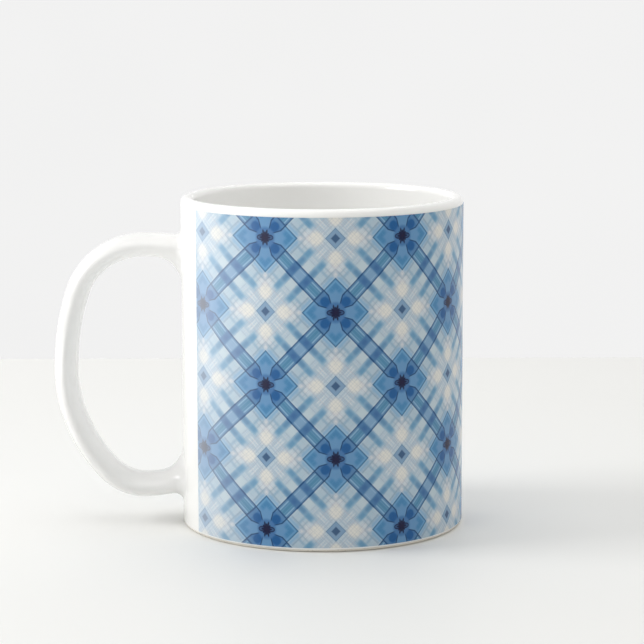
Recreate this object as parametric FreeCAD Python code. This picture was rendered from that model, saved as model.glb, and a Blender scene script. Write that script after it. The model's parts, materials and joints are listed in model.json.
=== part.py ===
import FreeCAD, Part
import math
import os

# A straight-sided stoneware mug with a luted loop handle, a glaze skin and a printed wrap.
# Millimetres, +Z up. The origin is the centre of the foot, on the plane that the mug stands
# on, and the handle reaches out along -X.

# Cup, as glazed
MUG_HEIGHT = 96.0            # standing plane to the top of the lip
GLAZED_RADIUS = 40.85        # outside of the glazed wall
WALL = 3.65                  # wall with the glaze on both faces
FLOOR = 5.0                  # clay floor over the foot recess
FLOOR_CORNER = 7.0           # clay radius where the wall runs into the floor
GLAZE = 0.4                  # fired glaze film

# Foot
FOOT_RECESS = 1.8            # depth of the hollow under the floor
FOOT_RING_WIDTH = 5.0        # flat dry ring that the mug stands on
FOOT_EDGE = 0.8              # rounded outer edge of the foot, where the glaze is wiped back
RECESS_LEAN = 1.2            # how far the wall of the hollow leans inwards

# Printed wrap
PRINT_FILM = 0.15            # thickness of the printed film
PRINT_ABOVE_FOOT = 1.3       # bare glaze under the print
PRINT_BELOW_LIP = 2.2        # bare glaze over the print
PRINT_GAP = 60.0             # degrees of bare glaze left around the handle

# Handle, as glazed; its heights are those of the strap's middle line
HANDLE_WIDTH = 17.0          # across the strap, along Y
HANDLE_THICKNESS = 6.8       # through the strap
CREST_BELOW_LIP = 14.3       # highest stretch of the loop
CREST_REACH = 11.1           # the crest, out from the glazed wall
HEEL_ABOVE_FOOT = 10.9       # lowest stretch of the loop
ROOT_BITE = 0.6              # how deep the strap's side edges sit in the clay wall
ROOT_FILLET = 2.6            # slip worked into the corner around each root

# Bends of the loop, from the upper root round to the lower one
UPPER_ROOT_BEND = 80.0
SHOULDER_BEND = 20.2
SHOULDER_TURN = 72.0         # degrees
BELLY_BEND = 43.4
BELLY_TURN = 44.0            # degrees
HEEL_BEND = 14.6
LOWER_ROOT_BEND = 40.0

TOUCHING = 0.001             # two places nearer than this are one
PLACES_PER_EDGE = 5
FULL_TURN = 360.0
QUARTER_TURN = 90.0
ORIGIN = FreeCAD.Vector(0.0, 0.0, 0.0)
UP = FreeCAD.Vector(0.0, 0.0, 1.0)
ACROSS = FreeCAD.Vector(0.0, 1.0, 0.0)

# Clay under the glaze
clay_radius = GLAZED_RADIUS - GLAZE
clay_wall = WALL - 2.0 * GLAZE
bore_radius = clay_radius - clay_wall
lip_radius = clay_wall / 2.0
lip_height = MUG_HEIGHT - GLAZE - lip_radius
floor_height = FOOT_RECESS + FLOOR
ring_inside = clay_radius - FOOT_EDGE - FOOT_RING_WIDTH
clay_width = HANDLE_WIDTH - 2.0 * GLAZE
clay_thickness = HANDLE_THICKNESS - 2.0 * GLAZE


def at(radius, height):
    """A point on the half plane that the cup is turned from."""
    return FreeCAD.Vector(radius, 0.0, height)


def line(start, end):
    return Part.LineSegment(start, end).toShape()


def arc(centre, radius, from_angle, to_angle):
    """An arc about a point of the half plane, its angles in degrees from outwards to upwards."""
    points = []
    for angle in (from_angle, (from_angle + to_angle) / 2.0, to_angle):
        turn = math.radians(angle)
        points.append(centre + at(radius * math.cos(turn), radius * math.sin(turn)))
    return Part.Arc(*points).toShape()


def turned(edges, sweep=FULL_TURN):
    """A closed outline turned about the cup's axis."""
    face = Part.Face(Part.Wire(edges))
    return face.revolve(ORIGIN, UP, sweep)


def lip_centre():
    return at(clay_radius - lip_radius, lip_height)


def corner_centre():
    return at(bore_radius - FLOOR_CORNER, floor_height + FLOOR_CORNER)


def cup_body():
    """Wall, floor and foot ring, turned in one piece of clay."""
    edge_centre = at(clay_radius - FOOT_EDGE, FOOT_EDGE)
    recess_top = at(ring_inside - RECESS_LEAN, FOOT_RECESS)
    return turned([
        line(at(0.0, floor_height), at(0.0, FOOT_RECESS)),
        line(at(0.0, FOOT_RECESS), recess_top),
        line(recess_top, at(ring_inside, 0.0)),
        line(at(ring_inside, 0.0), at(edge_centre.x, 0.0)),
        arc(edge_centre, FOOT_EDGE, -QUARTER_TURN, 0.0),
        line(at(clay_radius, FOOT_EDGE), at(clay_radius, lip_height)),
        arc(lip_centre(), lip_radius, 0.0, 2.0 * QUARTER_TURN),
        line(at(bore_radius, lip_height), at(bore_radius, corner_centre().z)),
        arc(corner_centre(), FLOOR_CORNER, 0.0, -QUARTER_TURN),
        line(at(corner_centre().x, floor_height), at(0.0, floor_height)),
    ])


def liner_glaze():
    """Glaze on the floor, up the inside and over the lip."""
    glazed_bore = bore_radius - GLAZE
    glazed_floor = floor_height + GLAZE
    return turned([
        line(at(0.0, glazed_floor), at(0.0, floor_height)),
        line(at(0.0, floor_height), at(corner_centre().x, floor_height)),
        arc(corner_centre(), FLOOR_CORNER, -QUARTER_TURN, 0.0),
        line(at(bore_radius, corner_centre().z), at(bore_radius, lip_height)),
        arc(lip_centre(), lip_radius, 2.0 * QUARTER_TURN, 0.0),
        line(at(clay_radius, lip_height), at(GLAZED_RADIUS, lip_height)),
        arc(lip_centre(), lip_radius + GLAZE, 0.0, 2.0 * QUARTER_TURN),
        line(at(glazed_bore, lip_height), at(glazed_bore, corner_centre().z)),
        arc(corner_centre(), FLOOR_CORNER - GLAZE, 0.0, -QUARTER_TURN),
        line(at(corner_centre().x, glazed_floor), at(0.0, glazed_floor)),
    ])


def foot_glaze():
    """The glazed disc in the hollow under the floor, inside the dry foot ring."""
    underside = FOOT_RECESS - GLAZE
    lean_out = RECESS_LEAN * GLAZE / FOOT_RECESS
    hollow = ring_inside - RECESS_LEAN
    return turned([
        line(at(0.0, FOOT_RECESS), at(0.0, underside)),
        line(at(0.0, underside), at(hollow + lean_out, underside)),
        line(at(hollow + lean_out, underside), at(hollow, FOOT_RECESS)),
        line(at(hollow, FOOT_RECESS), at(0.0, FOOT_RECESS)),
    ])


def wall_skin(inside, film, bottom, top, sweep=FULL_TURN):
    """A film of even thickness on a stretch of the straight wall."""
    outside = inside + film
    return turned([
        line(at(inside, bottom), at(outside, bottom)),
        line(at(outside, bottom), at(outside, top)),
        line(at(outside, top), at(inside, top)),
        line(at(inside, top), at(inside, bottom)),
    ], sweep)


def loop_bends():
    """Where the strap's middle line starts, its heading there, and each bend with its turn.

    The crest and the heel are set from the lip and the foot, and the flank between the
    shoulder and the belly takes up what height is left.
    """
    shoulder = math.radians(SHOULDER_TURN)
    belly = math.radians(BELLY_TURN)
    flank = math.radians(QUARTER_TURN - SHOULDER_TURN)
    heel = math.radians(QUARTER_TURN - BELLY_TURN)
    crest = at(-(GLAZED_RADIUS + CREST_REACH), MUG_HEIGHT - CREST_BELOW_LIP)
    bent_height = SHOULDER_BEND * (1.0 - math.cos(shoulder)) + BELLY_BEND * math.sin(belly)
    bent_height += HEEL_BEND * (1.0 - math.cos(heel))
    flank_bend = (crest.z - HEEL_ABOVE_FOOT - bent_height) / math.sin(flank)
    heel_x = crest.x - SHOULDER_BEND * math.sin(shoulder) - flank_bend * (1.0 - math.cos(flank))
    heel_x += BELLY_BEND * (1.0 - math.cos(belly)) + HEEL_BEND * math.sin(heel)
    root_x = ROOT_BITE - math.sqrt(clay_radius ** 2 - (clay_width / 2.0) ** 2)
    upper = math.asin((root_x - crest.x) / UPPER_ROOT_BEND)
    lower = math.asin((root_x - heel_x) / LOWER_ROOT_BEND)
    start = at(root_x, crest.z - UPPER_ROOT_BEND * (1.0 - math.cos(upper)))
    heading = math.pi - upper
    bends = [
        (UPPER_ROOT_BEND, upper),
        (SHOULDER_BEND, shoulder),
        (flank_bend, flank),
        (BELLY_BEND, belly),
        (HEEL_BEND, heel),
        (LOWER_ROOT_BEND, lower),
    ]
    return start, heading, bends


def strap(width, thickness):
    """The whole loop, an oval section carried round each bend in turn."""
    point, heading, bends = loop_bends()
    stretches = []
    for bend, turn in bends:
        inwards = at(-math.sin(heading), math.cos(heading))
        oval = Part.Ellipse(
            point + ACROSS * (width / 2.0),
            point + inwards * (thickness / 2.0),
            point,
        )
        section = Part.Face(Part.Wire([oval.toShape()]))
        pivot = point + inwards * bend
        stretches.append(section.revolve(pivot, ACROSS * -1.0, math.degrees(turn)))
        heading += turn
        point = pivot - at(-math.sin(heading), math.cos(heading)) * bend
    return stretches[0].multiFuse(stretches[1:])


def rooted(core, loop, fillet):
    """The loop on the cup's core, with a fillet in the corner around each root."""
    joined = core.fuse(loop)
    radius = core.BoundBox.XMax
    corners = []
    for edge in joined.Edges:
        places = edge.discretize(PLACES_PER_EDGE)
        on_wall = all(abs(math.hypot(place.x, place.y) - radius) < TOUCHING for place in places)
        under_lip = all(TOUCHING < place.z < lip_height for place in places)
        if on_wall and under_lip and places[0].x < 0.0:
            corners.append(edge)
    return joined.makeFillet(fillet, corners)


def from_the_top(shape):
    """The separate solids of a shape, the highest first."""
    return sorted(shape.Solids, key=lambda solid: -solid.CenterOfMass.z)


def save(name, shape):
    shape.exportStep(os.path.join("parts", name + ".step"))


def main():
    os.makedirs("parts", exist_ok=True)

    clay_core = Part.makeCylinder(clay_radius, MUG_HEIGHT)
    glazed_core = Part.makeCylinder(GLAZED_RADIUS, MUG_HEIGHT)
    clay_loop = strap(clay_width, clay_thickness)
    glazed_loop = strap(HANDLE_WIDTH, HANDLE_THICKNESS)

    clay_rooted = rooted(clay_core, clay_loop, ROOT_FILLET)
    glazed_rooted = rooted(glazed_core, glazed_loop, ROOT_FILLET - GLAZE)
    slips = clay_rooted.cut([clay_core, clay_loop])
    upper_slip, lower_slip = from_the_top(slips)
    handle = clay_loop.cut(clay_core)
    dressed_handle = glazed_rooted.cut([glazed_core, clay_rooted])
    glazed_wall = wall_skin(clay_radius, GLAZE, FOOT_EDGE, lip_height)

    print_height = MUG_HEIGHT - PRINT_BELOW_LIP
    wrap = wall_skin(GLAZED_RADIUS, PRINT_FILM, PRINT_ABOVE_FOOT, print_height, FULL_TURN - PRINT_GAP)
    wrap.rotate(ORIGIN, UP, PRINT_GAP / 2.0 - FULL_TURN / 2.0)

    save("cup_body", cup_body())
    save("handle_strap", handle)
    save("upper_slip_joint", upper_slip)
    save("lower_slip_joint", lower_slip)
    save("liner_glaze", liner_glaze())
    save("outer_glaze", glazed_wall.cut([upper_slip, lower_slip, handle]))
    save("handle_glaze", dressed_handle)
    save("foot_glaze", foot_glaze())
    save("printed_wrap", wrap)


main()
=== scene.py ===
import json
import math

import bpy
from mathutils import Matrix, Vector


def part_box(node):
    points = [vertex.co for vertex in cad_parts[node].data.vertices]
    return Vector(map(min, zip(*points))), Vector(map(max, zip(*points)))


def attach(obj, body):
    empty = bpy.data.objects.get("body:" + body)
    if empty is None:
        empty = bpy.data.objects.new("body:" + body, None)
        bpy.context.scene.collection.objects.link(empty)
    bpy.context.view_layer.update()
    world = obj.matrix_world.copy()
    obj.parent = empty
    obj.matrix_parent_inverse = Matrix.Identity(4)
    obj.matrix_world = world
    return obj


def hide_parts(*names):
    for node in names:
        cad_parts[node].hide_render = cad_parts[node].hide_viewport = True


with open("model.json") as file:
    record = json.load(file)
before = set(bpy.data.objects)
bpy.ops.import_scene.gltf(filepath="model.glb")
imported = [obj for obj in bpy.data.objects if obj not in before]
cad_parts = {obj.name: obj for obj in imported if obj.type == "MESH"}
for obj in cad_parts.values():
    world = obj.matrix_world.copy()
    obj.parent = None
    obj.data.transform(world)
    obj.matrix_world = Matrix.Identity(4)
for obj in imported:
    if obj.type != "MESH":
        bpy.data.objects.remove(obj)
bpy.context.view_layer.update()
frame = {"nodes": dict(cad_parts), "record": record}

MM = 0.001                      # the model is in metres

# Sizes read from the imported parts
clay_low, clay_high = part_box("cup_body")
glaze_low, glaze_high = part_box("outer_glaze")
liner_low, liner_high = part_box("liner_glaze")
wrap_low, wrap_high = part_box("printed_wrap")
strap_low, strap_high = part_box("handle_strap")
disc_low, disc_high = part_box("foot_glaze")
mouth = next(mount for mount in frame["record"]["mounts"] if mount["name"] == "mouth")

clay_radius = clay_high[1]
glazed_radius = glaze_high[1]
wrap_radius = wrap_high[1]
bore_radius = mouth["dims"]["r_mm"] * MM
lip_top = liner_high[2]
floor_height = liner_low[2]
glaze_film = glazed_radius - clay_radius
clay_bore = bore_radius + glaze_film

# Small sizes of the throwing and glazing, in metres
FOOT_EDGE = 0.8 * MM            # rounded outer edge of the foot
GLAZE_ROLL = 0.3 * MM           # rounded end of the glaze above the dry foot
FLOOR_CORNER = 7.0 * MM         # clay radius where wall meets floor
FOOT_RING_WIDTH = 5.0 * MM
RECESS_LEAN = 1.2 * MM
RING_BEVEL = 0.25 * MM          # softened inner edge of the foot ring
RING_LAND = 0.1 * MM            # where its flat starts, out from the hollow
DISC_FLARE = 0.24 * MM          # how much wider the glazed disc is at its underside
FINE_TURNS = 384                # steps round the cup
WRAP_GAP = 60.0                 # degrees left bare round the handle, as on the printed film
SMOOTH_UNDER = 40.0             # degrees between faces that shade as one


# --------------------------------------------------------------------------------------
# Colour and shader helpers
# --------------------------------------------------------------------------------------

def linear(hex_colour):
    """An sRGB hex colour as linear red, green, blue and alpha."""
    values = [int(hex_colour[i:i + 2], 16) / 255.0 for i in (1, 3, 5)]
    straight = [v / 12.92 if v <= 0.04045 else ((v + 0.055) / 1.055) ** 2.4 for v in values]
    return (*straight, 1.0)


def node(tree, kind, inputs=(), **settings):
    """Adds a shader node with its settings and what goes into it; gives back its outputs."""
    made = tree.nodes.new("ShaderNode" + kind)
    for name, value in settings.items():
        setattr(made, name, value)
    pairs = inputs.items() if isinstance(inputs, dict) else enumerate(inputs)
    for socket, value in pairs:
        if isinstance(value, bpy.types.NodeSocket):
            tree.links.new(value, made.inputs[socket])
        else:
            made.inputs[socket].default_value = value
    return made.outputs


def new_material(name):
    material = bpy.data.materials.new(name)
    material.use_nodes = True
    material.node_tree.nodes.clear()
    return material, material.node_tree


def finish_surface(tree, surface):
    node(tree, "OutputMaterial", {"Surface": surface["BSDF"]})


# --------------------------------------------------------------------------------------
# Glaze and clay
# --------------------------------------------------------------------------------------

POOLING = 22.2 * MM             # clouds of tone where the glaze ran thicker
PEEL = 2.38 * MM                # waves of the fired skin
CLAY_CLOUDS = 11.1 * MM
GRIT = 1.11 * MM                # grog specks in the clay, drawn a little coarse so that they show
TOOTH = 0.667 * MM              # roughness left by the sponge


def fired_skin(tree, place):
    """The orange peel of a fired or baked coat, which only softens the highlights."""
    peel = node(tree, "TexNoise", {"Vector": place, "Scale": 1.0 / PEEL, "Detail": 2.0})["Fac"]
    return node(tree, "Bump", {"Strength": 0.04, "Distance": 0.0002, "Height": peel})["Normal"]


def white_gloss_glaze(name, light, shade, coat=0.3):
    """Clear white glaze, dipped and fired: a wet, even gloss over near-white, with the faintest
    pooling of tone over centimetres."""
    material, tree = new_material(name)
    place = node(tree, "TexCoord")["Object"]
    pooling = node(tree, "TexNoise", {"Vector": place, "Scale": 1.0 / POOLING, "Detail": 2.0})["Fac"]
    tone = node(tree, "Mix", {0: pooling, 6: linear(light), 7: linear(shade)}, data_type="RGBA")[2]
    smear = node(tree, "MapRange", {"Value": pooling, "To Min": 0.10, "To Max": 0.16})[0]
    surface = node(tree, "BsdfPrincipled", {
        "Base Color": tone, "Roughness": smear, "Normal": fired_skin(tree, place),
        "IOR": 1.5, "Coat Weight": coat, "Coat Roughness": 0.05,
    })
    finish_surface(tree, surface)
    return material


def dry_white_stoneware():
    """Fired white stoneware left bare on the foot ring: matt, a little warm, with fine grog specks
    and a sanded, slightly rough feel."""
    material, tree = new_material("dry_white_stoneware")
    place = node(tree, "TexCoord")["Object"]
    clouds = node(tree, "TexNoise", {"Vector": place, "Scale": 1.0 / CLAY_CLOUDS, "Detail": 4.0})["Fac"]
    body = node(tree, "Mix", {0: clouds, 6: linear("#ECE8E0"), 7: linear("#E2DCD1")}, data_type="RGBA")[2]
    grit = node(tree, "TexVoronoi", {"Vector": place, "Scale": 1.0 / GRIT})["Distance"]
    speck = node(tree, "MapRange", {
        "Value": grit, "From Min": 0.10, "From Max": 0.16, "To Min": 0.5, "To Max": 0.0})[0]
    speckled = node(tree, "Mix", {0: speck, 6: body, 7: linear("#A3968A")}, data_type="RGBA")[2]
    grain = node(tree, "TexNoise", {"Vector": place, "Scale": 1.0 / TOOTH, "Detail": 3.0})["Fac"]
    tooth = node(tree, "Bump", {"Strength": 0.35, "Distance": 0.0001, "Height": grain})["Normal"]
    surface = node(tree, "BsdfPrincipled", {"Base Color": speckled, "Roughness": 0.78, "Normal": tooth})
    finish_surface(tree, surface)
    return material


# --------------------------------------------------------------------------------------
# The printed lattice
# --------------------------------------------------------------------------------------

HALF_REPEAT = 20.5              # mm from a star to the next small diamond
BAND_MIDDLE = HALF_REPEAT * math.sqrt(2.0) / 2.0   # mm along a band, from a star to halfway
STAR_ARC = 3.75                 # mm round from the front to the first column of stars
STAR_HEIGHT = 67.65             # mm up to a row of stars
PITCH_ROUND = 19.75             # half repeat round the cup
PITCH_UP = 20.52                # half repeat up the cup
EASED_FROM = 20.0               # past this, mm to the handle's side, the film was pulled out
EASING = 0.18                   # by this share of its length
PAINTED_HIGHLIGHT_FROM = 114.0               # degrees from opposite the handle to where the painted highlight begins
PAINTED_HIGHLIGHT_STRENGTH = 0.36                  # strength of the painted highlight laid over the print at the film's ends
NEAR, FAR = -1.0, 20.0          # mm past both ends of the fold, for a side that is left open


def lattice_places(tree):
    """Millimetres round and up the cup, folded onto one corner of the repeat.

    The lattice is a square one on its corner, mirrored in every direction. `along` is how far
    a place is from the nearest star along the nearest band, up to the band's middle, `off` how
    far from that band's middle line; `side` and `rise` are the distances from the star
    across and up, `spread` is `along` and `off` as a place for the washes' mottling, and `ends`
    is the turn from opposite the handle, which grows towards the film's two ends.
    """
    place = node(tree, "TexCoord")["Object"]
    x, y, z = node(tree, "SeparateXYZ", [place])[:3]
    turn = node(tree, "Math", [y, x], operation="ARCTAN2")[0]
    from_front = node(tree, "Math", [turn, math.pi / 2.0], operation="ADD")[0]
    arc = node(tree, "Math", [from_front, wrap_radius / MM], operation="MULTIPLY")[0]
    ends = node(tree, "Math", [turn], operation="ABSOLUTE")[0]
    short = node(tree, "Math", [arc, -1.0, -EASED_FROM], operation="MULTIPLY_ADD")[0]
    past = node(tree, "Math", [short, 0.0], operation="MAXIMUM")[0]
    eased = node(tree, "Math", [past, EASING, arc], operation="MULTIPLY_ADD")[0]
    across = node(tree, "MapRange", {
        "Value": eased, "From Min": STAR_ARC, "From Max": STAR_ARC + PITCH_ROUND,
        "To Min": 0.0, "To Max": HALF_REPEAT}, clamp=False)[0]
    up = node(tree, "MapRange", {
        "Value": z, "From Min": STAR_HEIGHT * MM, "From Max": (STAR_HEIGHT + PITCH_UP) * MM,
        "To Min": 0.0, "To Max": HALF_REPEAT}, clamp=False)[0]
    legs = []
    for kind in ("ADD", "SUBTRACT"):
        slant = node(tree, "Math", [across, up], operation=kind)[0]
        slant = node(tree, "Math", [slant, math.sqrt(0.5)], operation="MULTIPLY")[0]
        legs.append(node(tree, "Math", [slant, BAND_MIDDLE, -BAND_MIDDLE], operation="WRAP")[0])
    lengths = [node(tree, "Math", [leg], operation="ABSOLUTE")[0] for leg in legs]
    along = node(tree, "Math", lengths, operation="MAXIMUM")[0]
    off = node(tree, "Math", lengths, operation="MINIMUM")[0]
    reach = []
    for kind in ("ADD", "SUBTRACT"):
        both = node(tree, "Math", legs, operation=kind)[0]
        both = node(tree, "Math", [both], operation="ABSOLUTE")[0]
        reach.append(node(tree, "Math", [both, math.sqrt(0.5)], operation="MULTIPLY")[0])
    spread = node(tree, "CombineXYZ", [along, off, 0.0])[0]
    return {"along": along, "off": off, "side": reach[0], "rise": reach[1], "spread": spread, "ends": ends}


def within(tree, value, low, high, bleed):
    """Full strength between two places, fading out over the bleed of the ink."""
    edges = []
    for edge, before, after in ((low, 0.0, 1.0), (high, 1.0, 0.0)):
        edges.append(node(tree, "MapRange", {
            "Value": value, "From Min": edge - bleed, "From Max": edge + bleed,
            "To Min": before, "To Max": after}, interpolation_type="SMOOTHSTEP")[0])
    return node(tree, "Math", edges, operation="MULTIPLY")[0]


def lay_ink(tree, under, colour, strength, *masks):
    """One pass of ink over what is already printed, held inside its masks."""
    cover = strength
    for mask in masks:
        cover = node(tree, "Math", [cover, mask], operation="MULTIPLY")[0]
    return node(tree, "Mix", {0: cover, 6: under, 7: linear(colour)}, data_type="RGBA")[2]


def blot(tree, first, second, centre, size, edge):
    """A soft oval spot: full inside, gone at its edge."""
    parts = []
    for value, middle, half in zip((first, second), centre, size):
        gap = node(tree, "Math", [value, middle], operation="SUBTRACT")[0]
        share = node(tree, "Math", [gap, half], operation="DIVIDE")[0]
        parts.append(node(tree, "Math", [share, 2.0], operation="POWER")[0])
    total = node(tree, "Math", parts, operation="ADD")[0]
    radius = node(tree, "Math", [total, 0.5], operation="POWER")[0]
    return node(tree, "MapRange", {
        "Value": radius, "From Min": 1.0 - edge, "From Max": 1.0 + edge,
        "To Min": 1.0, "To Max": 0.0}, interpolation_type="SMOOTHSTEP")[0]


# Straight strokes of ink, laid in this order. Each has its direction, where it starts and stops
# across itself, its bleed, where it starts and stops along itself, the bleed of its ends, its ink
# and its strength. Lengths are mm from the star.
PLAID_STROKES = [
    ("along", 8.0, 8.8, 0.3, 1.8, 8.0, 0.8, "#93AFC5", 0.85),
    ("along", 8.9, 10.7, 0.25, 2.3, 4.75, 0.35, "#B1C5D2", 0.9),
    ("along", 9.9, 10.7, 0.25, 2.3, 8.5, 0.6, "#ABC5D4", 0.5),
    ("off", 4.85, 5.75, 0.25, 7.6, 11.0, 0.5, "#97B4C9", 0.85),
    ("off", 6.25, 6.95, 0.25, 7.8, 11.0, 0.5, "#A9BFCD", 0.7),
    ("off", 7.3, 8.3, 0.35, 8.6, 11.2, 0.5, "#CFD8DE", 0.85),
    ("along", 6.9, 7.95, 0.25, 1.8, 6.6, 0.5, "#89AFCD", 0.92),
    ("along", 6.98, 7.22, 0.1, 1.9, 6.4, 0.4, "#A3C4DC", 0.6),
    ("along", 11.0, 13.25, 0.45, 1.8, 8.2, 0.7, "#8DB1CA", 0.9),
    ("along", 11.1, 12.9, 0.35, 1.8, 4.6, 0.6, "#6693B6", 0.85),
    ("along", 11.1, 12.7, 0.35, 4.9, 7.3, 0.45, "#6798BA", 0.9),
    ("along", 11.6, 12.4, 0.25, 1.8, 4.6, 0.5, "#5A86AB", 0.5),
    ("along", 13.4, 15.0, 0.2, 2.3, 4.8, 0.4, "#C0D0D8", 0.9),
    ("along", 13.4, 15.0, 0.25, 6.3, 7.2, 0.3, "#A9BFCE", 0.7),
    ("along", 13.9, 14.25, 0.12, 7.2, 10.4, 0.6, "#D9DEE0", 0.7),
    ("along", 13.35, 13.65, 0.12, 6.8, 12.4, 0.5, "#A7BACB", 0.75),
    ("along", 12.3, 12.5, 0.1, 9.0, 13.0, 0.5, "#AEB6C6", 0.6),
    ("along", 9.68, 9.84, 0.08, 5.0, 12.0, 0.6, "#A7AFBF", 0.45),
    ("along", 8.45, 8.65, 0.1, 2.4, 9.4, 0.6, "#8695AA", 0.5),
    ("along", 10.2, 10.34, 0.08, 7.0, 12.0, 0.6, "#A9B3C3", 0.4),
    ("off", 8.5, 8.68, 0.1, 8.9, 14.6, 0.5, "#B5B3BF", 0.6),
    ("off", 9.3, 9.44, 0.08, 11.4, 14.6, 0.4, "#ACB5C3", 0.45),
    ("off", 10.6, 10.76, 0.08, 12.0, 14.6, 0.4, "#A8B1C6", 0.5),
    ("off", 6.66, 6.84, 0.1, 7.6, 11.0, 0.4, "#8FA6B9", 0.55),
    ("off", 3.3, 3.42, 0.08, 8.8, 10.8, 0.3, "#9FB1C1", 0.45),
    ("off", 5.3, 5.42, 0.08, 8.8, 10.8, 0.3, "#85A3BA", 0.4),
    ("off", 2.2, 2.42, 0.1, 7.6, 11.0, 0.4, "#BFD2DC", 0.7),
    ("off", 2.2, 2.42, 0.1, 13.3, 15.0, 0.3, "#C4D4DD", 0.6),
]

SQUARE_STROKES = [
    ("along", NEAR, 6.8, 0.1, NEAR, FAR, 0.1, "#6695BF", 1.0),
    ("along", 4.5, 6.7, 0.35, 3.0, FAR, 0.5, "#4F8AB8", 0.9),
    ("along", 4.7, 5.75, 0.3, 3.2, FAR, 0.5, "#437FAE", 0.6),
    ("along", 6.0, 6.4, 0.15, 2.0, FAR, 0.3, "#74A7CC", 0.7),
    ("along", 6.56, 6.86, 0.1, NEAR, FAR, 0.3, "#35658B", 0.85),
    ("off", 3.9, 4.1, 0.1, 4.2, 6.6, 0.3, "#5F97C0", 0.4),
]

RIBBON_STROKES = [
    ("along", 6.6, FAR, 0.1, NEAR, 2.0, 0.1, "#6792B6", 1.0),
    ("off", NEAR, 0.95, 0.15, 6.9, 10.9, 0.2, "#548AAE", 0.9),
    ("off", NEAR, 0.3, 0.1, 6.9, 10.9, 0.3, "#4C86A8", 0.5),
    ("off", 0.42, 0.54, 0.06, 6.9, 14.6, 0.2, "#80ABC7", 0.5),
    ("off", 1.08, 1.36, 0.1, 6.9, 10.9, 0.2, "#94BAD5", 0.85),
    ("off", 1.5, 1.75, 0.1, 6.9, 14.6, 0.2, "#5680A8", 0.6),
    ("along", 10.8, 13.15, 0.3, NEAR, 2.2, 0.1, "#4877A6", 0.9),
    ("along", 11.2, 12.6, 0.4, NEAR, 0.8, 0.4, "#3A659A", 0.7),
    ("along", 13.2, 15.0, 0.25, NEAR, 1.6, 0.3, "#83A6C6", 0.85),
    ("off", 1.1, 1.3, 0.08, 13.3, 15.0, 0.2, "#A0BDD6", 0.6),
    ("along", 5.6, 6.6, 0.15, NEAR, 1.7, 0.2, "#5380AC", 0.9),
    ("along", 6.52, 6.98, 0.12, NEAR, 1.8, 0.1, "#25507F", 0.95),
]

INK_SPREAD = 1.5                # how much further the heat spread each edge


def lay_strokes(tree, at, ink, strokes):
    for direction, low, high, bleed, start, stop, fade, colour, strength in strokes:
        other = "off" if direction == "along" else "along"
        stroke = within(tree, at[direction], low, high, bleed * INK_SPREAD)
        stretch = within(tree, at[other], start, stop, fade * INK_SPREAD)
        ink = lay_ink(tree, ink, colour, strength, stroke, stretch)
    return ink


# Fine threads of the plaid: direction, ink, and where in the cloth's grain they are taken from
THREADS = [
    ("along", "#8D9FB6", 3.0), ("off", "#90A6B8", 3.0),
    ("along", "#E3E2DD", 41.0), ("off", "#DEE0E0", 41.0),
]
THREAD = 0.526                  # mm between threads, drawn a little coarse so that they show
PATCH = 1.25                    # mm that a thread shows before it sinks again
WASH = 1.82                     # mm across the mottling of the wash

# Soft spots of bare cream: centre and half size in mm from the star, and their tone
CREAM_SPOTS = [
    ((11.6, 0.0), (1.9, 2.2), "#CFD3D8"),
    ((15.0, 0.0), (2.0, 1.9), "#E4E3DC"),
    ((13.3, 3.0), (1.2, 1.2), "#D7DCDF"),
]
PALE_CREAM = "#E8E5DD"
CREAM_PLACES = ((15.0, 0.0), (0.0, 15.0))
CREAM_SIZE = (1.8, 1.8)


def plaid_ground(tree, at):
    """The pale cells: a blue-grey wash crossed by soft strokes, cream where the paper shows."""
    cloud = node(tree, "TexNoise", {"Vector": at["spread"], "Scale": 1.0 / WASH, "Detail": 3.0})["Fac"]
    ink = node(tree, "Mix", {0: cloud, 6: linear("#AFC4D3"), 7: linear("#C3D3DE")}, data_type="RGBA")[2]
    for centre, size, colour in CREAM_SPOTS:
        for first, second in (("side", "rise"), ("rise", "side")):
            spot = blot(tree, at[first], at[second], centre, size, 0.4)
            ink = lay_ink(tree, ink, colour, 0.95, spot)
    patchy = node(tree, "TexNoise", {"Vector": at["spread"], "Scale": 1.0 / PATCH, "Detail": 1.0})["Fac"]
    shown = within(tree, patchy, 0.4, FAR, 0.2)
    for direction, colour, shift in THREADS:
        place = node(tree, "Math", [at[direction], shift], operation="ADD")[0]
        grain = node(tree, "TexNoise", {
            "W": place, "Scale": 1.0 / THREAD, "Detail": 2.0}, noise_dimensions="1D")["Fac"]
        ink = lay_ink(tree, ink, colour, 0.35, within(tree, grain, 0.56, FAR, 0.08), shown)
    ink = lay_strokes(tree, at, ink, PLAID_STROKES)
    for centre in CREAM_PLACES:
        spot = blot(tree, at["side"], at["rise"], centre, CREAM_SIZE, 0.5)
        ink = lay_ink(tree, ink, PALE_CREAM, 0.4, spot)
    return ink


def small_diamond(tree, at, ink):
    """The little lozenge in the middle of each cell, slate in a steel-blue ring."""
    ink = lay_ink(tree, ink, "#7F9FBE", 0.95, within(tree, at["off"], 12.45, FAR, 0.2))
    ink = lay_ink(tree, ink, "#5B80A3", 0.75, within(tree, at["off"], 12.4, 12.6, 0.1))
    return lay_ink(tree, ink, "#3B5A80", 0.95, within(tree, at["off"], 13.55, FAR, 0.22))


LEAF_TIP, LEAF_FULL = 2.3, 4.8  # mm from the star to the leaf's point, and to its full width
TIP_HALF = 0.65                 # half its width at the point
BAND_HALF = 2.02                # half the band's width


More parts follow.
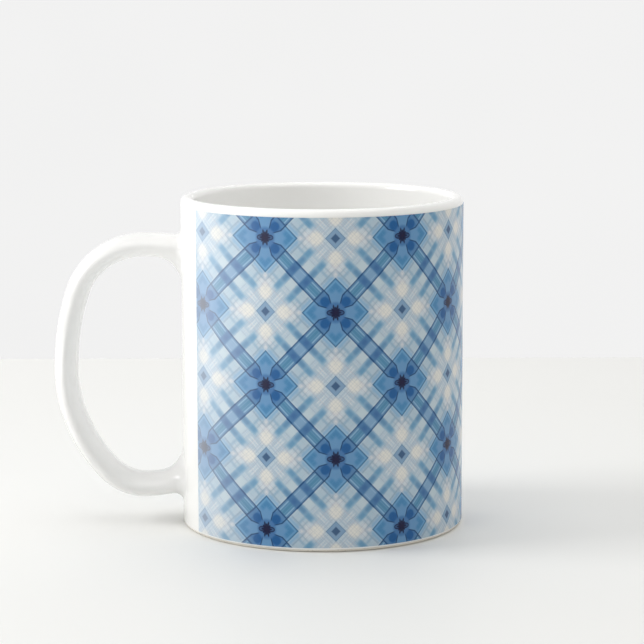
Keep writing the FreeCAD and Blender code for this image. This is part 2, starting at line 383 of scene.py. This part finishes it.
def leaves(tree, at, ink):
    """A leaf at each end of a band, deep blue by the star. Its navy outline opens out from the
    star and runs on as the band's edge."""
    width = node(tree, "MapRange", {
        "Value": at["along"], "From Min": LEAF_TIP, "From Max": LEAF_FULL,
        "To Min": TIP_HALF, "To Max": BAND_HALF})[0]
    past = node(tree, "Math", [at["off"], width], operation="SUBTRACT")[0]
    inside = within(tree, past, -FAR, 0.0, 0.1)
    leaf = within(tree, at["along"], 2.7, 5.6, 0.3)
    ink = lay_ink(tree, ink, "#3C72A8", 0.85, leaf, inside)
    heart = blot(tree, at["along"], at["off"], (4.2, 0.0), (1.5, 1.3), 0.25)
    ink = lay_ink(tree, ink, "#145894", 0.92, heart, inside)
    line = within(tree, past, -0.24, 0.16, 0.12)
    ink = lay_ink(tree, ink, "#123B68", 0.88, line, within(tree, at["along"], 2.5, 7.6, 0.4))
    ink = lay_ink(tree, ink, "#1F4C7D", 0.8, line, within(tree, at["along"], 7.4, FAR, 0.4))
    heavy = within(tree, past, -0.3, 0.2, 0.12)
    return lay_ink(tree, ink, "#1F4C7D", 0.7, heavy, within(tree, at["along"], 11.0, 12.9, 0.3))


def star(tree, at, ink):
    """The plum star at each crossing: eight short rays, a pair of prongs up and down, and an
    open almond to each side, on a darker halo."""
    parts = [node(tree, "Math", [at[name], 2.0], operation="POWER")[0] for name in ("side", "rise")]
    total = node(tree, "Math", parts, operation="ADD")[0]
    radius = node(tree, "Math", [total, 0.5], operation="POWER")[0]
    ink = lay_ink(tree, ink, "#3F6FA4", 0.85, within(tree, radius, NEAR, 2.9, 0.5))
    almond = blot(tree, at["side"], at["rise"], (1.2, 0.0), (1.4, 0.85), 0.1)
    opening = blot(tree, at["side"], at["rise"], (1.5, 0.0), (0.8, 0.42), 0.2)
    ink = lay_ink(tree, ink, "#0E1A42", 0.92, almond)
    ink = lay_ink(tree, ink, "#38608F", 0.7, opening)
    lean = node(tree, "Math", [at["rise"], -0.16, at["side"]], operation="MULTIPLY_ADD")[0]
    ink = lay_ink(tree, ink, "#0C1338", 0.92, blot(tree, lean, at["rise"], (0.3, 1.25), (0.3, 0.95), 0.25))
    turn = node(tree, "Math", [at["rise"], at["side"]], operation="ARCTAN2")[0]
    eight = node(tree, "Math", [turn, 8.0], operation="MULTIPLY")[0]
    rays = node(tree, "Math", [eight], operation="COSINE")[0]
    reach = node(tree, "Math", [rays, 0.36, 1.32], operation="MULTIPLY_ADD")[0]
    share = node(tree, "Math", [radius, reach], operation="DIVIDE")[0]
    ink = lay_ink(tree, ink, "#050E3A", 0.97, within(tree, share, NEAR, 1.0, 0.12))
    return lay_ink(tree, ink, "#1C0C36", 0.4, within(tree, radius, NEAR, 0.5, 0.25))


def lattice_print_under_gloss():
    """Sublimated print in a hard polyester coat on the glaze: saturated blues under a glassy skin,
    with the slight bleed that heat gives each edge."""
    material, tree = new_material("lattice_print_under_gloss")
    at = lattice_places(tree)
    ink = plaid_ground(tree, at)
    ink = small_diamond(tree, at, ink)
    ink = lay_strokes(tree, at, ink, SQUARE_STROKES)
    ink = lay_strokes(tree, at, ink, RIBBON_STROKES)
    ink = leaves(tree, at, ink)
    ink = star(tree, at, ink)
    # Painted highlight: the print fades to a pale blue-white towards both ends of the film, by the handle,
    # as glare would lighten it.
    painted_highlight = node(tree, "MapRange", {
        "Value": at["ends"], "From Min": math.radians(PAINTED_HIGHLIGHT_FROM),
        "From Max": math.radians(180.0 - WRAP_GAP / 2.0), "To Min": 0.0, "To Max": PAINTED_HIGHLIGHT_STRENGTH})[0]
    ink = lay_ink(tree, ink, "#EAF2FB", 1.0, painted_highlight)
    place = node(tree, "TexCoord")["Object"]
    surface = node(tree, "BsdfPrincipled", {
        "Base Color": ink, "Roughness": 0.22, "Normal": fired_skin(tree, place),
        "IOR": 1.5, "Specular IOR Level": 0.27,
    })
    finish_surface(tree, surface)
    return material


# --------------------------------------------------------------------------------------
# Mesh making
# --------------------------------------------------------------------------------------

def make_piece(name, points, faces, material, replaced):
    """A smooth mesh piece that rides on the mug and stands for its CAD nodes."""
    mesh = bpy.data.meshes.new(name)
    mesh.from_pydata([tuple(point) for point in points], [], faces)
    mesh.validate()
    mesh.update()
    for face in mesh.polygons:
        face.use_smooth = True
    mesh.set_sharp_from_angle(angle=math.radians(SMOOTH_UNDER))
    piece = bpy.data.objects.new(name, mesh)
    bpy.context.scene.collection.objects.link(piece)
    mesh.materials.append(material)
    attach(piece, "root")
    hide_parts(*replaced)
    return piece


def arc_points(centre, radius, start, stop, steps):
    """Points of an arc in the turning plane, angles in degrees from outwards to upwards."""
    points = []
    for step in range(steps + 1):
        angle = math.radians(start + (stop - start) * step / steps)
        points.append((centre[0] + radius * math.cos(angle), centre[1] + radius * math.sin(angle)))
    return points


def run(start, stop, steps):
    """Points along a straight stretch, without its last one."""
    return [
        (start[0] + (stop[0] - start[0]) * step / steps, start[1] + (stop[1] - start[1]) * step / steps)
        for step in range(steps)
    ]


def turned_rings(profile, turns=FINE_TURNS, start=0.0, sweep=360.0):
    """A closed outline turned about the cup's axis; a whole turn closes on itself, and a part
    turn is closed with a face at each end. Points on the axis become one point."""
    whole = sweep >= 360.0
    columns = turns if whole else turns + 1
    points = []
    rows = []
    for radius, height in profile:
        row = []
        for column in range(columns):
            if radius < 1e-9 and row:
                row.append(row[0])
                continue
            angle = math.radians(start + sweep * column / turns)
            row.append(len(points))
            points.append((radius * math.cos(angle), radius * math.sin(angle), height))
        rows.append(row)
    faces = []
    for index, row in enumerate(rows):
        after = rows[(index + 1) % len(rows)]
        for column in range(turns):
            beside = (column + 1) % columns
            corners = [row[column], row[beside], after[beside], after[column]]
            kept = [c for place, c in enumerate(corners) if c not in corners[:place]]
            if len(kept) > 2:
                faces.append(kept)
    if not whole:
        faces.append([row[0] for row in rows])
        faces.append([row[-1] for row in reversed(rows)])
    return points, faces


# --------------------------------------------------------------------------------------
# The cup
# --------------------------------------------------------------------------------------

lip_radius = (clay_radius - clay_bore) / 2.0
lip_centre = (clay_radius - lip_radius, lip_top - glaze_film - lip_radius)
corner_centre = (clay_bore - FLOOR_CORNER, floor_height + FLOOR_CORNER)
ring_inside = clay_radius - FOOT_EDGE - FOOT_RING_WIDTH
recess = disc_high[2]


def clay_cup_outline():
    outline = [(0.0, floor_height), (0.0, recess), (ring_inside - RECESS_LEAN, recess)]
    outline += [(ring_inside - RING_BEVEL, RING_BEVEL), (ring_inside + RING_LAND, 0.0)]
    outline += arc_points((clay_radius - FOOT_EDGE, FOOT_EDGE), FOOT_EDGE, -90.0, 0.0, 8)
    outline += arc_points(lip_centre, lip_radius, 0.0, 180.0, 16)
    outline += arc_points(corner_centre, FLOOR_CORNER, 0.0, -90.0, 12)
    return outline


def liner_outline():
    outline = [(0.0, floor_height + glaze_film), (0.0, floor_height)]
    outline += arc_points(corner_centre, FLOOR_CORNER, -90.0, 0.0, 16)
    outline += arc_points(lip_centre, lip_radius, 180.0, 0.0, 16)
    outline += arc_points(lip_centre, lip_radius + glaze_film, 0.0, 180.0, 28)
    outline += run((bore_radius, lip_centre[1]), (bore_radius, corner_centre[1]), 12)[1:]
    outline += arc_points(corner_centre, FLOOR_CORNER - glaze_film, 0.0, -90.0, 16)
    outline += run((corner_centre[0], floor_height + glaze_film), (0.0, floor_height + glaze_film), 8)[1:]
    return outline


def outer_glaze_outline():
    bottom = glaze_low[2]
    outline = [(clay_radius, lip_centre[1]), (clay_radius, bottom)]
    outline += arc_points((glazed_radius - GLAZE_ROLL, bottom + GLAZE_ROLL), GLAZE_ROLL, -90.0, 0.0, 5)
    outline += run((glazed_radius, bottom + GLAZE_ROLL), (glazed_radius, lip_centre[1]), 12)[1:]
    outline += [(glazed_radius, lip_centre[1])]
    return outline


def foot_disc_outline():
    out = ring_inside - RECESS_LEAN
    return [(0.0, recess), (0.0, disc_low[2]), (out + DISC_FLARE, disc_low[2]), (out, recess)]


def wrap_outline():
    low, high = wrap_low[2], wrap_high[2]
    outline = [(glazed_radius, high), (glazed_radius, low)]
    outline += run((wrap_radius, low), (wrap_radius, high), 24)
    outline += [(wrap_radius, high)]
    return outline


# The film's flat map, as shares of its height: each half of the face, and the strips over them
HALF_FACE, SECOND_FACE = 0.47, 0.48
ENDS_STRIP, BACK_STRIP, RIMS_STRIP = 0.952, 0.96, 0.974
STRIP_STEP = 0.006
FACING = 0.7


def lay_out_film(mesh):
    """Lays the printed film out flat for baking: its face in two halves, one above the other, and
    the film's back, rims and ends in narrow strips over them."""
    layer = mesh.uv_layers.new(name="OFBake")
    half_sweep = math.radians(180.0 - WRAP_GAP / 2.0)
    for face in mesh.polygons:
        turn = math.atan2(face.center.y, face.center.x)
        outward = face.normal.x * math.cos(turn) + face.normal.y * math.sin(turn)
        later = turn > 0.0
        for corner in face.loop_indices:
            place = mesh.vertices[mesh.loops[corner].vertex_index].co
            across = math.atan2(place.y, place.x) / half_sweep + (0.0 if later else 1.0)
            up = (place.z - wrap_low[2]) / (wrap_high[2] - wrap_low[2])
            deep = (math.hypot(place.x, place.y) - glazed_radius) / (wrap_radius - glazed_radius)
            if outward > FACING:
                level = HALF_FACE * up + SECOND_FACE * later
            elif outward < -FACING:
                level = BACK_STRIP + STRIP_STEP * (0.8 * up + later)
            elif abs(face.normal.z) > FACING:
                level = RIMS_STRIP + STRIP_STEP * (0.7 * deep + later + 2.0 * (face.normal.z > 0.0))
            else:
                across = 0.02 * deep + 0.5 * later
                level = ENDS_STRIP + STRIP_STEP * up
            layer.data[corner].uv = (across, level)


def make_cup(glaze, liner, clay, printed):
    pieces = (
        ("clay_cup", clay_cup_outline(), clay, "cup_body", "stoneware_clay"),
        ("inside_glaze", liner_outline(), liner, "liner_glaze", "white_glaze"),
        ("outside_glaze", outer_glaze_outline(), glaze, "outer_glaze", "white_glaze"),
        ("foot_hollow_glaze", foot_disc_outline(), glaze, "foot_glaze", "white_glaze"),
    )
    for name, outline, material, replaced, slot in pieces:
        points, faces = turned_rings(outline)
        make_piece(name, points, faces, material, [replaced])
    points, faces = turned_rings(wrap_outline(), FINE_TURNS, WRAP_GAP / 2.0 - 180.0, 360.0 - WRAP_GAP)
    film = make_piece("printed_lattice", points, faces, printed, ["printed_wrap"])
    lay_out_film(film.data)


# --------------------------------------------------------------------------------------
# The handle
# --------------------------------------------------------------------------------------

STRAP_WIDTH = 17.0 * MM
STRAP_THICKNESS = 6.8 * MM
SHOULDER_BEND, SHOULDER_TURN = 20.2 * MM, 72.0
BELLY_BEND, BELLY_TURN = 43.4 * MM, 44.0
HEEL_BEND = 14.6 * MM
UPPER_ROOT_BEND = 80.0 * MM
LOWER_ROOT_BEND = 40.0 * MM
CREST_REACH = 11.1 * MM         # crest of the loop, out from the glazed wall
RING_POINTS = 56
ROOT_STEPS = 16
CROWDING = 1.8                  # sections at a root lie closer together by the wall
SLIP_SHORT = 5                  # sections that the slip stops short of the loop
UPPER_FILLETS = (2.4 * MM, 7.5 * MM, 2.4 * MM)   # outer face, finger side, edges
LOWER_FILLETS = (3.4 * MM, 7.0 * MM, 2.8 * MM)
SUNK = 0.3 * MM                 # the handle's ends run this far into the wall

clay_half = STRAP_THICKNESS / 2.0 - glaze_film
crest_height = strap_high[2] - clay_half
heel_height = strap_low[2] + clay_half
crest_x = -(glazed_radius + CREST_REACH)


def loop_line():
    """The strap's middle line from the crest round to the heel: places with their headings."""
    shoulder = math.radians(SHOULDER_TURN)
    flank = math.radians(90.0 - SHOULDER_TURN)
    belly = math.radians(BELLY_TURN)
    heel = math.radians(90.0 - BELLY_TURN)
    bent = SHOULDER_BEND * (1.0 - math.cos(shoulder)) + BELLY_BEND * math.sin(belly)
    bent += HEEL_BEND * (1.0 - math.cos(heel))
    flank_bend = (crest_height - heel_height - bent) / math.sin(flank)
    bends = (
        (SHOULDER_BEND, shoulder, 26), (flank_bend, flank, 14),
        (BELLY_BEND, belly, 20), (HEEL_BEND, heel, 18),
    )
    x, z, heading = crest_x, crest_height, math.pi
    line = [(x, z, heading)]
    for bend, turn, steps in bends:
        pivot_x = x - math.sin(heading) * bend
        pivot_z = z + math.cos(heading) * bend
        for step in range(1, steps + 1):
            now = heading + turn * step / steps
            line.append((pivot_x + math.sin(now) * bend, pivot_z - math.cos(now) * bend, now))
        x, z, heading = line[-1]
    return line


def flare(distance, radius):
    """How far a worked fillet stands out of the strap, at this distance from the wall."""
    if distance >= radius:
        return 0.0
    return radius - math.sqrt(radius ** 2 - (radius - distance) ** 2)


def root_ring(height_at, distance, far, outer_fillet, inner_fillet, side_fillet, inwards, shrink, core):
    """A section near the wall: an oval that opens into the wall and follows its curve."""
    ring = []
    reach = max(distance, 0.0)
    half_width = STRAP_WIDTH / 2.0 - shrink + flare(reach, side_fillet)
    for step in range(RING_POINTS):
        angle = 2.0 * math.pi * step / RING_POINTS
        y = half_width * math.cos(angle)
        lift = math.sin(angle)
        fillet = inner_fillet if lift > 0.0 else outer_fillet
        half = STRAP_THICKNESS / 2.0 - shrink + flare(reach, fillet)
        bow = core - math.sqrt(core ** 2 - y ** 2)
        x = -(core + distance - bow * (1.0 - min(reach / far, 1.0)))
        ring.append(Vector((x, y, height_at(-(core + distance)) + lift * half * inwards)))
    return ring


def upper_height(x):
    return crest_height - UPPER_ROOT_BEND + math.sqrt(UPPER_ROOT_BEND ** 2 - (x - crest_x) ** 2)


def root_rings(height_at, far, fillets, inwards, shrink, core):
    """Sections from inside the wall out to where the loop starts to bend."""
    rings = [root_ring(height_at, -SUNK, far, *fillets, inwards, shrink, core)]
    for step in range(ROOT_STEPS):
        distance = far * (step / ROOT_STEPS) ** CROWDING
        rings.append(root_ring(height_at, distance, far, *fillets, inwards, shrink, core))
    return rings


def skin_rings(rings):
    """Faces over a row of rings, closed at both ends."""
    points = [point for ring in rings for point in ring]
    faces = []
    for index in range(len(rings) - 1):
        for step in range(RING_POINTS):
            after = (step + 1) % RING_POINTS
            low, high = index * RING_POINTS, (index + 1) * RING_POINTS
            faces.append([low + step, low + after, high + after, high + step])
    faces.append(list(range(RING_POINTS))[::-1])
    faces.append([len(points) - RING_POINTS + step for step in range(RING_POINTS)])
    return points, faces


def make_handle(glaze, clay):
    line = loop_line()
    heel_x = line[-1][0]

    def lower_height(x):
        return heel_height + LOWER_ROOT_BEND - math.sqrt(LOWER_ROOT_BEND ** 2 - (x - heel_x) ** 2)

    upper = root_rings(upper_height, -crest_x - glazed_radius, UPPER_FILLETS, -1.0, 0.0, glazed_radius)
    lower = root_rings(lower_height, -heel_x - glazed_radius, LOWER_FILLETS, 1.0, 0.0, glazed_radius)
    middle = []
    for x, z, heading in line:
        inward = Vector((-math.sin(heading), 0.0, math.cos(heading)))
        ring = []
        for step in range(RING_POINTS):
            angle = 2.0 * math.pi * step / RING_POINTS
            place = Vector((x, 0.0, z)) + inward * (math.sin(angle) * STRAP_THICKNESS / 2.0)
            ring.append(place + Vector((0.0, math.cos(angle) * STRAP_WIDTH / 2.0, 0.0)))
        middle.append(ring)
    points, faces = skin_rings(upper + middle + lower[::-1])
    make_piece("glazed_handle", points, faces, glaze, ["handle_glaze"])
    for name, height_at, end_x, fillets, inwards, node_name in (
        ("upper_root_slip", upper_height, crest_x, UPPER_FILLETS, -1.0, "upper_slip_joint"),
        ("lower_root_slip", lower_height, heel_x, LOWER_FILLETS, 1.0, "lower_slip_joint"),
    ):
        rings = root_rings(height_at, -end_x - clay_radius, fillets, inwards, glaze_film, clay_radius)
        points, faces = skin_rings(rings[:-SLIP_SHORT])
        make_piece(name, points, faces, clay, [node_name])
    strap = frame["nodes"]["handle_strap"]
    strap.data.materials.clear()
    strap.data.materials.append(clay)


# --------------------------------------------------------------------------------------
# Table, paper, lights and camera
# --------------------------------------------------------------------------------------

TABLE_EDGE = 283.0 * MM         # the table's far edge, behind the cup
TABLE_REACH = 2.0
STONE_CLOUDS = 167.0 * MM
PAPER_CLOUDS = 200.0 * MM
PAPER_BEHIND = 2.4              # the paper hangs well behind the table
PAPER_HALF = 4.0


def stage_panel(name, corners, material):
    mesh = bpy.data.meshes.new(name)
    mesh.from_pydata(corners, [], [[0, 1, 2, 3]])
    mesh.materials.append(material)
    panel = bpy.data.objects.new(name, mesh)
    bpy.context.scene.collection.objects.link(panel)


def honed_pale_stone():
    """Pale stone, honed to a soft sheen: almost even, with broad clouds of tone."""
    material, tree = new_material("honed_pale_stone")
    place = node(tree, "TexCoord")["Object"]
    clouds = node(tree, "TexNoise", {"Vector": place, "Scale": 1.0 / STONE_CLOUDS, "Detail": 4.0})["Fac"]
    tone = node(tree, "Mix", {0: clouds, 6: linear("#F3F3F1"), 7: linear("#EFEFED")}, data_type="RGBA")[2]
    surface = node(tree, "BsdfPrincipled", {"Base Color": tone, "Roughness": 0.55})
    finish_surface(tree, surface)
    return material


def lit_backdrop():
    """A white paper sweep that is lit from behind, so that it stays almost even."""
    material, tree = new_material("lit_white_paper")
    place = node(tree, "TexCoord")["Object"]
    clouds = node(tree, "TexNoise", {"Vector": place, "Scale": 1.0 / PAPER_CLOUDS, "Detail": 2.0})["Fac"]
    tone = node(tree, "Mix", {0: clouds, 6: linear("#E6E6E6"), 7: linear("#E3E3E3")}, data_type="RGBA")[2]
    surface = node(tree, "BsdfPrincipled", {
        "Base Color": linear("#5E5E5E"), "Roughness": 0.9,
        "Emission Color": tone, "Emission Strength": 1.04,
    })
    finish_surface(tree, surface)
    return material


def make_stage():
    table = honed_pale_stone()
    paper = lit_backdrop()
    side = TABLE_REACH
    stage_panel("table_top", [
        (-side, -side, 0.0), (side, -side, 0.0), (side, TABLE_EDGE, 0.0), (-side, TABLE_EDGE, 0.0)], table)
    side = PAPER_HALF
    stage_panel("paper_backdrop", [
        (-side, PAPER_BEHIND, -side), (side, PAPER_BEHIND, -side),
        (side, PAPER_BEHIND, side), (-side, PAPER_BEHIND, side)], paper)


def soft_light(name, place, target, width, height, watts, spread):
    lamp = bpy.data.lights.new(name, "AREA")
    lamp.shape = "RECTANGLE"
    lamp.size = width
    lamp.size_y = height
    lamp.energy = watts
    lamp.spread = math.radians(spread)
    holder = bpy.data.objects.new(name, lamp)
    holder.location = place
    holder.rotation_euler = (Vector(target) - Vector(place)).to_track_quat("-Z", "Y").to_euler()
    holder.visible_camera = False
    bpy.context.scene.collection.objects.link(holder)


# Name, place, what it points at, width, height, watts and spread in degrees
SOFT_LIGHTS = (
    ("key_window", (-0.98, -0.08, 0.64), (0.0, 0.0, 0.05), 0.5, 0.5, 5.4, 180.0),
    ("overhead_panel", (0.1, -0.05, 1.1), (0.1, -0.05, 0.0), 1.0, 1.0, 3.3, 180.0),
    ("back_bounce", (-0.46, 0.12, 0.002), (-0.46, 0.12, 1.0), 0.46, 0.34, 0.8, 180.0),
    ("front_bounce", (-0.46, -0.32, 0.002), (-0.46, -0.32, 1.0), 0.46, 0.5, 2.1, 180.0),
    ("mouth_fill", (-0.004, 0.0, 0.3), (0.0, 0.0, 0.0), 0.02, 0.02, 0.0042, 19.0),
)


def make_lights():
    world = bpy.data.worlds.new("studio_air")
    world.use_nodes = True
    tree = world.node_tree
    tree.nodes.clear()
    direction = node(tree, "TexCoord")["Generated"]
    toward = node(tree, "SeparateXYZ", [direction])
    level = node(tree, "MapRange", {
        "Value": toward["Y"], "From Min": -0.9, "From Max": 0.3, "To Min": 0.53, "To Max": 0.60})[0]
    sky = node(tree, "Background", {"Color": linear("#FFFEFB"), "Strength": level})[0]
    node(tree, "OutputWorld", {"Surface": sky})
    bpy.context.scene.world = world
    for light in SOFT_LIGHTS:
        soft_light(*light)


LENS = 135.96                   # mm, on a sensor 36 mm wide
SENSOR = 36.0
CAMERA_PLACE = (0.0, -0.70092, 0.167192)
LOOKS_DOWN = 8.793              # degrees below level
LEANS = -0.135                  # degrees


def make_camera():
    data = bpy.data.cameras.new("camera")
    data.sensor_width = SENSOR
    data.lens = LENS
    data.clip_start = 0.01
    camera = bpy.data.objects.new("camera", data)
    pitch = Matrix.Rotation(math.radians(90.0 - LOOKS_DOWN), 4, "X")
    roll = Matrix.Rotation(math.radians(LEANS), 4, "Z")
    camera.matrix_world = Matrix.Translation(CAMERA_PLACE) @ pitch @ roll
    bpy.context.scene.collection.objects.link(camera)
    bpy.context.scene.camera = camera


glaze = white_gloss_glaze("white_gloss_glaze", "#FAFAF8", "#F6F6F4")
# Painted light: the inside's glaze is a whiter copy of the body's white glaze, so that the inside looks
# more brightly lit.
liner = white_gloss_glaze("white_glaze_painted_liner_light", "#FEFEFD", "#FCFCFA")
clay = dry_white_stoneware()
# Painted shade: the handle's glaze is a darker copy of the body's white glaze, so that the handle looks
# less brightly lit.
handle_glaze_painted_shade = white_gloss_glaze("white_glaze_painted_handle_shade", "#F3F3F2", "#EFEFEE", 0.0)
printed = lattice_print_under_gloss()
make_cup(glaze, liner, clay, printed)
make_handle(handle_glaze_painted_shade, clay)
make_stage()
make_lights()
make_camera()
bpy.context.scene.view_settings.view_transform = "Standard"
